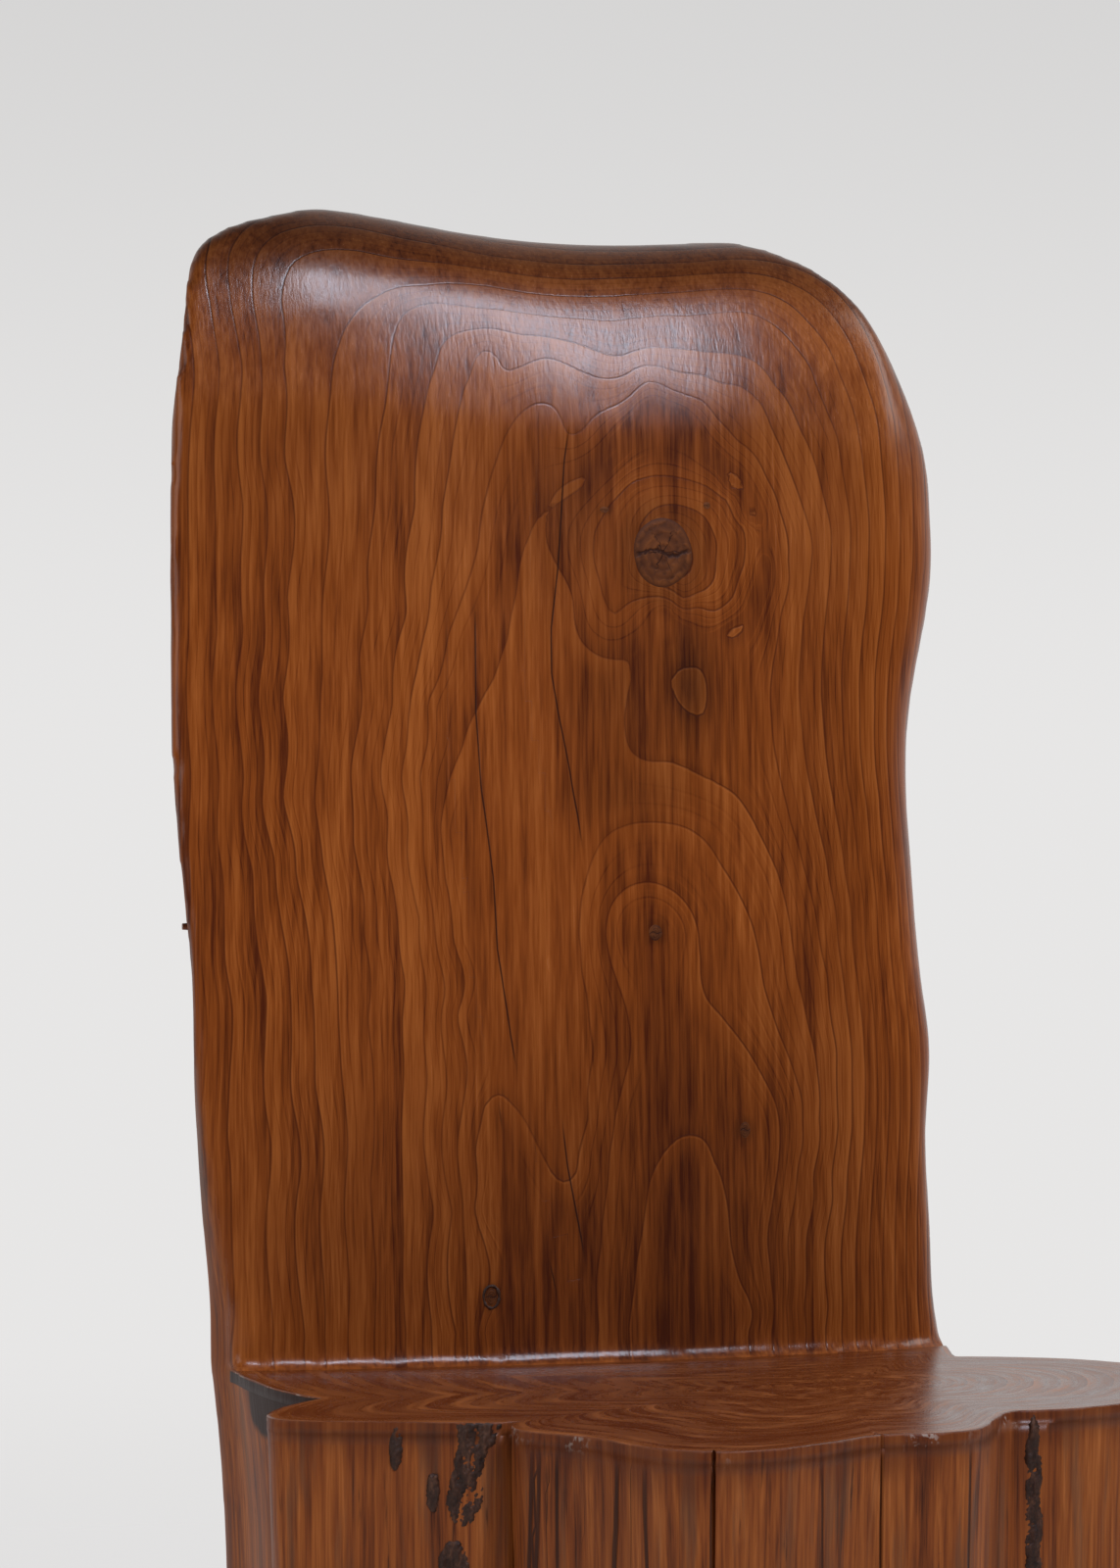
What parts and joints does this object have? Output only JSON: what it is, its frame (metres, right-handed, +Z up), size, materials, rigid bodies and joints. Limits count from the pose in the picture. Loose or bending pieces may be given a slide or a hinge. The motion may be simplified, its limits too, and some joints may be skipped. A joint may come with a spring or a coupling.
{
  "type": "log chair",
  "caption": "High-backed chair carved from a fluted tree trunk: a tall back with a rolled top edge rises from a block seat sawn across the grain.",
  "frame": {"origin": "on the floor, under the middle of the trunk, in the plane of the flat sawn base", "axes": "+Z up, the sitter faces -Y, and +X is to the right of someone looking at the front of the chair"},
  "size_m": [0.6234, 0.575, 1.1816],
  "materials": {
    "stem_wood": "gloss",
    "seat_wood": "satin",
    "knot_wood": "gloss",
    "old_bark": "gloss"
  },
  "bodies": {
    "root": {"rear_stem": "stem_wood", "seat_block": "seat_wood", "upper_knot": "knot_wood", "centre_knot": "knot_wood", "right_knot": "knot_wood", "loose_knot": "knot_wood", "loose_knot_bark": "old_bark", "pin_knots": "knot_wood", "edge_knot": "knot_wood", "notch_bark_left": "old_bark", "notch_bark_right": "old_bark", "bark_pocket": "old_bark", "bark_flecks": "old_bark", "groove_bark": "old_bark"}
  },
  "joints": []
}
